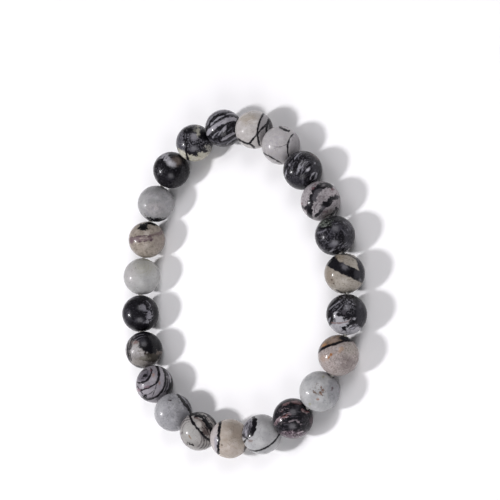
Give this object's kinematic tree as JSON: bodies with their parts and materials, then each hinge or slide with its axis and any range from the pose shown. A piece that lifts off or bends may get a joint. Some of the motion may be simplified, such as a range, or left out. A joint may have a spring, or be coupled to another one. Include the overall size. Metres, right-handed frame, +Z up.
{
  "type": "beaded stretch bracelet",
  "caption": "Round polished stone beads in black, grey, tan and rose jasper, strung on a closed elastic cord that stretches over the hand and sits round the wrist.",
  "frame": {"origin": "middle of the bracelet's outline, on the surface that its beads lie on", "axes": "+Z up from that surface, through the loop, as the wrist runs; +Y along the loop's longer diameter; +X along its shorter diameter"},
  "size_m": [0.0606, 0.074, 0.008],
  "materials": {
    "black_jasper": "polished stone, charcoal black with grey and cream clouds and fingers",
    "banded_jasper": "polished stone, grey and dusty rose with thick black bands",
    "tan_jasper": "polished stone, cream and tan with thin black lines",
    "grey_jasper": "polished stone, plain pale grey with few rust specks",
    "rose_jasper": "polished stone, rose brown with wavy dark lines",
    "clear_elastic": "clear, slightly milky stretch cord"
  },
  "bodies": {
    "root": {"bead_01": "black_jasper", "bead_02": "banded_jasper", "bead_03": "tan_jasper", "bead_04": "grey_jasper", "bead_05": "black_jasper", "bead_06": "banded_jasper", "bead_07": "black_jasper", "bead_08": "tan_jasper", "bead_09": "black_jasper", "bead_10": "rose_jasper", "bead_11": "grey_jasper", "bead_12": "banded_jasper", "bead_13": "grey_jasper", "bead_14": "tan_jasper", "bead_15": "banded_jasper", "bead_16": "grey_jasper", "bead_17": "rose_jasper", "bead_18": "banded_jasper", "bead_19": "black_jasper", "bead_20": "grey_jasper", "bead_21": "tan_jasper", "bead_22": "grey_jasper", "bead_23": "black_jasper", "elastic_cord": "clear_elastic"}
  },
  "joints": []
}
